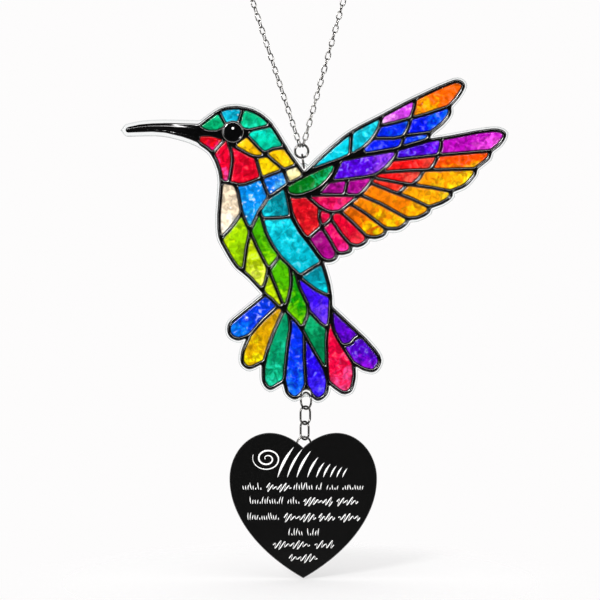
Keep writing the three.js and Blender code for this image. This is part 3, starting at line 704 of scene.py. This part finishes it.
def make_black_lines(outlines, neck, sheet_front, material):
    """The raised lines, beak and eye in one piece.

    Their height is that of a half round at the distance from their own outline, the beak has two ridges, and
    the eye is a low dome on them. The height is 0 on the outline, so the surface closes there.
    """
    lines = [eased(line) for line in outlines]
    eye = neck + np.array(EYE_FROM_NECK)
    beak_root = neck[0] + BEAK_ROOT_FROM_NECK
    clear_of_eye = EYE_RADIUS + 0.1
    clear_of_edge = 0.75
    own_side = 0.95
    inner = []
    for offset in LINE_OFFSETS:
        ring = np.concatenate([line + offset * inward(line) for line in lines])
        ring = ring[distance_to(lines, ring) > own_side * offset]
        if offset > THINNED_FROM:
            cell = np.round(ring / POINT_SPACING).astype(int)
            ring = ring[np.unique(cell, axis=0, return_index=True)[1]]
        inner.append(ring[np.linalg.norm(ring - eye, axis=1) > clear_of_eye])
    turns = np.linspace(0, 2 * math.pi, EYE_SIDES, endpoint=False)
    circle = np.stack([np.cos(turns), np.sin(turns)], axis=1)
    inner += [eye + circle * EYE_RADIUS * share for share in EYE_RINGS]
    beak = scattered(lines[0][lines[0][:, 0] < beak_root], POINT_SPACING)
    inner.append(beak[within(lines[0], beak) & (distance_to([lines[0]], beak) > clear_of_edge)])
    places, triangles = filled(lines, np.concatenate(inner))

    away = distance_to(lines, places)
    reach = np.clip(away / LEAD_ROUNDING, 0, 1)
    uneven = 1 - LEAD_UNEVENNESS + LEAD_UNEVENNESS * waves(places, LEAD_WAVE)
    height = LEAD_HEIGHT * np.sqrt(1 - (1 - reach) ** 2) * uneven
    height *= beak_ridges(lines[0], places, beak_root)
    from_eye = np.linalg.norm(places - eye, axis=1) / EYE_RADIUS
    dome = LEAD_HEIGHT + EYE_RISE * np.sqrt(np.clip(1 - from_eye ** 2, 0, 1))
    height = np.where(from_eye < 1.01, dome, height)
    height[away < 1e-3] = 0
    back = np.full(len(places), sheet_front - FACE_GAP)
    points, faces = shell(places, triangles, back - height, back)
    add_piece("raised_black_lines", points, faces, material, ["bird_leading"])


def make_pane(opening, spec, sheet_front):
    """One pane: a thin wavy slab that reaches a little under the lines round it, and its tones at each point.

    It thins towards its edge, where painted shade darkens its colour too.
    """
    deep, bright, way, painted_glint_share = spec[2:]
    own_side = 0.9
    line = eased(opening)[::-1]
    grown = line - PANE_TUCK * inward(line)
    inner = np.concatenate([scattered(line, PANE_POINT_SPACING), line + PANE_EDGE * inward(line)])
    inner = inner[within(line, inner)]
    inner = inner[distance_to([line], inner) > own_side * PANE_EDGE]
    places, triangles = filled([grown], inner)
    depth = np.clip((distance_to([grown], places) - PANE_TUCK) / PANE_EDGE, 0, 1)
    wave = sum(height * waves(places, size) for size, height in PANE_WAVES)
    thickness = PANE_THICKNESS * (PANE_EDGE_SHARE + (1 - PANE_EDGE_SHARE) * depth) + wave * depth
    back = np.full(len(places), sheet_front - FACE_GAP)
    points, faces = shell(places, triangles, back - thickness, back)
    along = points[:, [0, 2]] @ np.array([math.cos(math.radians(way)), math.sin(math.radians(way))])
    traits = np.zeros((len(points), 4))
    traits[:, 0] = (along - along.min()) / (along.max() - along.min())
    traits[:, 1] = painted_glint_share
    traits[:, 2] = np.tile(depth, 2)
    tones = [np.tile(linear(code), (len(points), 1)) for code in (deep, bright)]
    return points, faces, tones[0], tones[1], traits


def make_panes(openings, neck, sheet_front, material):
    """The panes in five pieces, each pane found by a place inside it."""
    for name, group in PANE_GROUPS.items():
        made = []
        for pane, spec in group.items():
            spot = neck + np.array(spec[:2], float)
            holding = [line for line in openings if within(line, spot[None])[0]]
            if len(holding) != 1:
                raise ValueError(f"{pane} lies in {len(holding)} openings")
            made.append(make_pane(holding[0], spec, sheet_front))
        points, faces = joined([pane[:2] for pane in made])
        piece = add_piece(name, points, faces, material)
        for index, attribute in enumerate(("deep", "bright", "traits"), start=2):
            values = np.concatenate([pane[index] for pane in made])
            layer = piece.data.attributes.new(attribute, "FLOAT_COLOR", "POINT")
            layer.data.foreach_set("color", values.ravel())


def add_plate(name, node, lines, bevel, face, edge):
    """A flat plate in a solid's place, its edge with a small bevel and a material of its own.

    Faces of the edge are those with a corner between the front and the back.
    """
    low, high = box_of(node)
    points, faces = bevelled(lines, low[1], high[1], bevel)
    piece = add_piece(name, points, faces, face, [node], smooth=False)
    piece.data.materials.append(edge)
    margin = 0.1
    between = (points[:, 1] > points[:, 1].min() + margin) & (points[:, 1] < points[:, 1].max() - margin)
    piece.data.polygons.foreach_set("material_index", between[faces].any(axis=1).astype(np.int32))


def make_sheet(material, edge):
    """The clear sheet with its neck hole and tail slot."""
    lines = [resampled(softened(line), SHEET_STEP) for line in front_outlines("bird_plate")]
    add_plate("clear_sheet", "bird_plate", lines, SHEET_BEVEL, material, edge)


def make_eye_dot(neck, sheet_front, material):
    """The white drop on the eye: a low dome of revolution, closed below."""
    count = 24
    rings = [(1.0, -0.1), (1.0, 0.02), (0.85, 0.08), (0.55, 0.14), (0.25, 0.17)]
    tip = 0.18
    turns = np.linspace(0, 2 * math.pi, count, endpoint=False)
    x, z = neck + np.array(EYE_DOT_FROM_NECK)
    base = sheet_front - LEAD_HEIGHT - EYE_RISE
    points = [[x + EYE_DOT_RADIUS * r * math.cos(t), base - h, z + EYE_DOT_RADIUS * r * math.sin(t)]
              for r, h in rings for t in turns]
    points += [[x, base - rings[0][1], z], [x, base - tip, z]]
    quads = tube_quads(len(rings), count, False)
    faces = [quads[:, [0, 1, 2]], quads[:, [0, 2, 3]]]
    here, after = np.arange(count), np.roll(np.arange(count), -1)
    last = (len(rings) - 1) * count
    faces.append(np.stack([here, after, np.full(count, len(points) - 2)], axis=1))
    faces.append(np.stack([last + after, last + here, np.full(count, len(points) - 1)], axis=1))
    add_piece("eye_highlight", np.array(points), np.concatenate(faces), material)


def wire_link(length, width, wire, sides=12, steps=20):
    """A ring or oval link of round wire, long axis z, face towards -Y.

    Its middle line is two half circles moved apart along z, and its section is a circle round that line.
    """
    half = np.linspace(0, math.pi, steps + 1)
    turn = np.concatenate([half, half + math.pi])[:, None]
    section = np.linspace(0, 2 * math.pi, sides, endpoint=False)[None, :]
    middle = (width - wire) / 2
    apart = np.where(np.arange(len(turn)) <= steps, 1, -1)[:, None] * (length - width) / 2
    out = middle + wire / 2 * np.cos(section)
    x = out * np.cos(turn)
    z = out * np.sin(turn) + apart
    y = np.broadcast_to(wire / 2 * np.sin(section), x.shape)
    points = np.stack([x, y, z], axis=2).reshape(-1, 3)
    if length <= width:
        keep = np.concatenate([np.arange(steps), np.arange(steps + 1, 2 * steps + 1)])
        points = points.reshape(len(turn), sides, 3)[keep].reshape(-1, 3)
    return points, tube_quads(len(points) // sides, sides, True)


def posed(points, turn, lean):
    """Points turned about z, anticlockwise from above, and then about y, so that up leans to the right."""
    axes = list(points.T)
    for degrees, first, second in ((turn, 0, 1), (lean, 2, 0)):
        c, s = math.cos(math.radians(degrees)), math.sin(math.radians(degrees))
        a, b = axes[first], axes[second]
        axes[first], axes[second] = a * c - b * s, a * s + b * c
    return np.stack(axes, axis=1)


def make_eye_rim(neck, sheet_front, material):
    """The thin raised line round the eye, its grey a painted highlight on the rim of the eye's black dome."""
    sunk = 0.02
    width = 2 * EYE_RIM_RADIUS + EYE_RIM_LINE
    points, faces = wire_link(width, width, EYE_RIM_LINE, sides=10, steps=48)
    x, z = neck + np.array(EYE_FROM_NECK)
    points = points + np.array([x, sheet_front - LEAD_HEIGHT + sunk, z])
    add_piece("eye_rim", points, faces, material)


def make_rings(material):
    """The jump rings and oval links, each where its solid is."""
    fine = {"sides": 20, "steps": 40}
    rows = (
        ("gathering_ring", "top_ring", TOP_RING, 0, 0),
        ("neck_ring", "hanging_ring", HANGING_RING, 90, HANGING_LEAN),
        ("tail_jump_ring", "tail_ring", TAIL_RING, TAIL_RING_TURN, 0),
        ("upper_oval_link", "upper_link", UPPER_LINK, UPPER_LINK_TURN, 0),
        ("lower_oval_link", "lower_link", LOWER_LINK, LOWER_LINK_TURN, 0),
        ("bail_ring", "heart_bail", HEART_BAIL, 0, 0),
    )
    for name, node, size, turn, lean in rows:
        points, faces = wire_link(**size, **fine)
        add_piece(name, posed(points, turn, lean) + centre_of(node), faces, material, [node])


def make_chain(material):
    """The cable chain: links evenly along a path from the top ring up, round the knob and back down."""
    half = math.radians((LEFT_LEAN + RIGHT_LEAN) / 2)
    tilt = math.radians((LEFT_LEAN - RIGHT_LEAN) / 2)
    run = (CHAIN_LINKS - 1) * CHAIN_PITCH + 2 * FIRST_LINK_FROM_RING
    arc_turn = math.pi + 2 * half
    arc_radius = run / (2 / math.tan(half) + arc_turn)
    strand = arc_radius / math.tan(half)
    ring = centre_of("top_ring")[[0, 2]]
    apex = arc_radius / math.sin(half)
    knob = ring + apex * np.array([-math.sin(tilt), math.cos(tilt)])
    left_way = math.pi / 2 + half + tilt
    right_way = math.pi / 2 - half + tilt
    links = []
    for k in range(CHAIN_LINKS):
        at = FIRST_LINK_FROM_RING + k * CHAIN_PITCH
        if at <= strand:
            place = ring + at * np.array([math.cos(left_way), math.sin(left_way)])
            way = left_way
        elif at >= strand + arc_turn * arc_radius:
            place = ring + (run - at) * np.array([math.cos(right_way), math.sin(right_way)])
            way = right_way + math.pi
        else:
            way = left_way - (at - strand) / arc_radius
            place = knob + arc_radius * np.array([-math.sin(way), math.cos(way)])
        points, faces = wire_link(**CHAIN_LINK, sides=8, steps=10)
        twist = np.interp(k, TWISTED_LINKS, LINK_TWISTS)
        points = posed(points, 90 * (1 - k % 2) + twist, 90 - math.degrees(way))
        links.append((points + np.array([place[0], 0, place[1]]), faces))
    points, faces = joined(links)
    add_piece("cable_chain", points, faces, material, ["chain_left", "chain_top", "chain_right"])


def bezier(corners, steps):
    """Points of a cubic curve, without its last one."""
    a, b, c, d = np.array(corners, float)
    t = (np.arange(steps) / steps)[:, None]
    return a * (1 - t) ** 3 + 3 * b * t * (1 - t) ** 2 + 3 * c * t ** 2 * (1 - t) + d * t ** 3


def heart_line():
    """The heart's outline in shares of half its width: three curves a side, anticlockwise from the notch."""
    right = np.concatenate([bezier(corners, HEART_STEPS) for corners in HEART_CURVES])
    point = np.array([HEART_CURVES[-1][-1]], float)
    left = right[1:][::-1] * np.array([-1, 1])
    return np.concatenate([right, point, left])[::-1]


def make_heart(coat, bare):
    """The heart plate, coated black, its bevelled edge left bright."""
    low, high = box_of("heart_plate")
    line = heart_line() * HEART_WIDTH / 2
    line = line + np.array([(low[0] + high[0]) / 2, high[2] - line[:, 1].max()])
    add_plate("heart", "heart_plate", [line], HEART_BEVEL, coat, bare)


def swept_stroke(path, widths, front, depth):
    """A stroke of flat oval section along a path on the heart's face, thick where its width is large."""
    sides = 6
    ahead = np.gradient(path, axis=0)
    ahead /= np.maximum(np.linalg.norm(ahead, axis=1, keepdims=True), 1e-9)
    left = np.stack([-ahead[:, 1], ahead[:, 0]], axis=1)
    around = np.linspace(0, 2 * math.pi, sides, endpoint=False)
    across = widths[:, None] / 2 * np.cos(around)[None]
    flat = path[:, None, :] + left[:, None, :] * across[:, :, None]
    y = front - depth * np.broadcast_to(np.sin(around)[None], across.shape)
    points = np.stack([flat[:, :, 0], y, flat[:, :, 1]], axis=2).reshape(-1, 3)
    quads = tube_quads(len(path), sides, False)
    faces = [quads[:, [0, 1, 2]], quads[:, [0, 2, 3]]]
    fan = np.arange(1, sides - 1)
    last = (len(path) - 1) * sides
    faces.append(np.stack([np.zeros_like(fan), fan, fan + 1], axis=1))
    faces.append(np.stack([np.full_like(fan, last), last + fan + 1, last + fan], axis=1))
    return points, np.concatenate(faces)


def tapered(count, thick, thin=0.1):
    """Widths of a pen stroke: thin at both ends and thick in the middle."""
    return thin + (thick - thin) * np.sin(math.pi * np.linspace(0, 1, count))


def make_strokes(material):
    """Pen marks in no script on the heart: a snail curl, slanted blades, then rows of ticks and ripples."""
    low, high = box_of("heart_plate")
    middle, top, front = (low[0] + high[0]) / 2, high[2], low[1]
    strokes = []

    def draw(path, widths):
        """A stroke along a path on the heart's face."""
        strokes.append(swept_stroke(np.asarray(path) + np.array([middle, top]), widths, front, STROKE_HEIGHT))

    def blade(x, z, size, lean, thick):
        """A stroke about a middle point, bent a little into a flat parabola."""
        count = 15
        t = np.linspace(-1, 1, count)
        c, s = math.cos(math.radians(lean)), math.sin(math.radians(lean))
        bow = size * BLADE_BOW * (1 - t ** 2)
        run = size / 2 * t
        draw(np.stack([x + run * c - bow * s, z + run * s + bow * c], axis=1), tapered(count, thick))

    def ripple(start, end, z, count):
        """A slanted sine wave, thick where it runs up, its height a slow wave of its own."""
        points_a_wave = 12
        t = np.linspace(0, 1, count * points_a_wave)
        phase = 2 * math.pi * count * t
        slow = 2 * math.pi * t * rng.uniform(1.2, 2.2) + rng.uniform(0, 6)
        swing = (RIPPLE_HEIGHT + RIPPLE_SWELL * np.sin(slow)) * np.sin(phase)
        path = np.stack([start + (end - start) * t + RIPPLE_SLANT * swing, z + swing], axis=1)
        thin, growth = RIPPLE_LINE
        draw(path, thin + growth * np.clip(np.cos(phase), 0, 1))

    # Curl: a snail's spiral, its radius growing evenly as it turns clockwise
    count = 110
    t = np.linspace(0, 1, count)
    turn = math.radians(CURL_START) - t * math.radians(CURL_TURN)
    radius = CURL_RADIUS + CURL_GROWTH * t
    around = np.stack([radius * np.cos(turn), radius * np.sin(turn)], axis=1)
    draw(np.array(CURL_CENTRE) + around * np.array(CURL_STRETCH), tapered(count, thick=0.62, thin=0.2))

    for x, size, thick in BLADES:
        blade(x, BLADE_FOOT + size * BLADE_HALF_RISE, size, BLADE_LEAN, thick)

    for z, runs in ROWS:
        for kind, start, end in runs:
            if kind == "ripple":
                ripple(start, end, z, round((end - start) / RIPPLE_PITCH))
                continue
            count = round((end - start) / TICK_PITCH)
            for k in range(count):
                x = start + (k + 0.5) * (end - start) / count
                size = rng.choice(TICK_SIZES)
                lean = 90 + rng.uniform(-TICK_SWAY, TICK_SWAY)
                blade(x, z + TICK_FOOT + size / 2, size, lean, TICK_LINE)
    points, faces = joined(strokes)
    add_piece("engraved_strokes", points, faces, material, smooth=False)


def add_ramp(material, position, stops):
    """A ramp node of grey levels, each stop a position and a level."""
    ramp = add_node(material, "ShaderNodeValToRGB", {"Fac": position})
    for place, level in stops[1:-1]:
        ramp.color_ramp.elements.new(place)
    for element, (place, level) in zip(ramp.color_ramp.elements, stops):
        element.position = place
        element.color = (level, level, level, 1)
    return ramp


def make_world():
    """A white room in which a gloss mirrors a dimmer one: dark, with grey walls and an arc lamp before it.

    The levels run over the mirrored way's share towards the front, from straight behind the piece to straight
    before it. The arc spans the upper half round the front, a little to the left. All other light is plain
    white, that inside the clear sheet too.
    """
    world = bpy.data.worlds.new("studio")
    bpy.context.scene.world = world
    world.use_nodes = True
    world.node_tree.nodes.clear()
    way = add_node(world, "ShaderNodeTexCoord").outputs["Generated"]
    axes = add_node(world, "ShaderNodeSeparateXYZ", {"Vector": way})
    ahead = add_node(world, "ShaderNodeMath", {0: axes.outputs["Y"], 1: -0.5, 2: 0.5},
                     {"operation": "MULTIPLY_ADD"})
    walls = add_ramp(world, ahead.outputs[0], WALL_LEVELS)
    arc = add_ramp(world, ahead.outputs[0], ARC_LEVELS)
    lamp_side = add_node(world, "ShaderNodeVectorMath", {0: way, 1: ARC_MIDDLE}, {"operation": "DOT_PRODUCT"})
    lit = add_node(world, "ShaderNodeMapRange", {0: lamp_side.outputs["Value"], 1: 0.0, 2: 0.25})
    lamp = add_node(world, "ShaderNodeMath", {0: arc.outputs["Color"], 1: lit.outputs[0]}, MULTIPLY)
    room = add_node(world, "ShaderNodeMath", {0: walls.outputs["Color"], 1: lamp.outputs[0]})
    ray = add_node(world, "ShaderNodeLightPath")
    mirrored = add_node(world, "ShaderNodeMath", {
        0: ray.outputs["Is Glossy Ray"], 1: ray.outputs["Transmission Depth"]},
        {"operation": "SUBTRACT", "use_clamp": True})
    strength = add_node(world, "ShaderNodeMix", {0: mirrored.outputs[0], 2: 1.0, 3: room.outputs[0]})
    background = add_node(world, "ShaderNodeBackground", {
        "Color": linear("#fdfcfc"), "Strength": strength.outputs[0]})
    add_node(world, "ShaderNodeOutputWorld", {"Surface": background.outputs[0]})


def floor_paper():
    """White paper that melts into the backdrop 6 to 12 cm from its middle."""
    material, shader = new_material(
        "white_paper", Base_Color=linear("#bcbcbc"), Roughness=0.9, Specular_IOR_Level=0.0,
        Emission_Color=linear("#fdfcfc"), Emission_Strength=0.42)
    place = add_node(material, "ShaderNodeTexCoord").outputs["Object"]
    away = add_node(material, "ShaderNodeVectorMath", {0: place}, {"operation": "LENGTH"})
    clear = add_node(material, "ShaderNodeMapRange", {0: away.outputs["Value"], 1: 0.06, 2: 0.12}, SMOOTH)
    bare = add_node(material, "ShaderNodeBsdfTransparent")
    mixed = add_node(material, "ShaderNodeMixShader", {
        0: clear.outputs[0], 1: shader.outputs[0], 2: bare.outputs[0]})
    add_node(material, "ShaderNodeOutputMaterial", {"Surface": mixed.outputs[0]}, {"is_active_output": True})
    return material


def add_sun(name, centre, direction, energy, width):
    """A distant lamp that shines on the centre from a direction, as wide as an angle in degrees."""
    lamp = bpy.data.lights.new(name, "SUN")
    lamp.energy = energy
    lamp.angle = math.radians(width)
    way = Vector(direction)
    add_object(name, lamp, centre + way, (-way).to_track_quat("-Z", "Y").to_euler())


def make_studio(centre, floor_height):
    """The floor, the lamps and the camera."""
    corners = [(x * FLOOR_HALF, y * FLOOR_HALF, 0) for x, y in ((-1, -1), (1, -1), (1, 1), (-1, 1))]
    mesh = bpy.data.meshes.new("floor")
    mesh.from_pydata(corners, [], [(0, 1, 2, 3)])
    mesh.materials.append(floor_paper())
    floor = add_object("floor", mesh, (centre.x, 0, floor_height))

    add_sun("key", centre, KEY_FROM, energy=1.5, width=12)
    add_sun("fill", centre, FILL_FROM, energy=0.6, width=10)

    camera = bpy.data.cameras.new("camera")
    camera.lens = LENS
    camera.sensor_width = SENSOR_WIDTH
    stand = centre - Vector((0, CAMERA_DISTANCE, 0))
    bpy.context.scene.camera = add_object("camera", camera, stand, (math.pi / 2, 0, 0))


bird_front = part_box("bird_leading")[1].y / MM
sheet_lines = front_outlines("bird_plate")
neck_hole = max(sheet_lines[1:], key=lambda line: line[:, 1].mean()).mean(axis=0)
lead_lines = front_outlines("bird_leading")

make_black_lines(lead_lines, neck_hole, bird_front, black_resin())
make_panes(lead_lines[1:], neck_hole, bird_front, stained_acrylic())
# The cut edge's grey tone is painted shade: the dark line a clear edge shows, drawn round the sheet
make_sheet(clear_acrylic("clear_cast_acrylic", "#fbfdfd"), clear_acrylic("laser_cut_acrylic_edge", "#d4d8d8"))
make_eye_dot(neck_hole, bird_front, white_enamel())
# The grey line round the eye is a painted highlight
make_eye_rim(neck_hole, bird_front, grey_rim_highlight())
make_rings(polished_steel("polished_stainless_wire", "#545250", "#8a8885"))
make_chain(polished_steel("tumbled_stainless_chain", "#8a8884", "#c4c2be"))
make_heart(coated_steel(), polished_steel("bright_bevelled_steel", "#8c8c8c", "#c0c0c0"))
make_strokes(engraved_steel())

view_centre = Vector(((neck_hole[0] + VIEW_FROM_NECK[0]) * MM, 0, (neck_hole[1] + VIEW_FROM_NECK[1]) * MM))
make_world()
make_studio(view_centre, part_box("heart_plate")[0].z - FLOOR_GAP)
bpy.context.scene.view_settings.view_transform = "Standard"
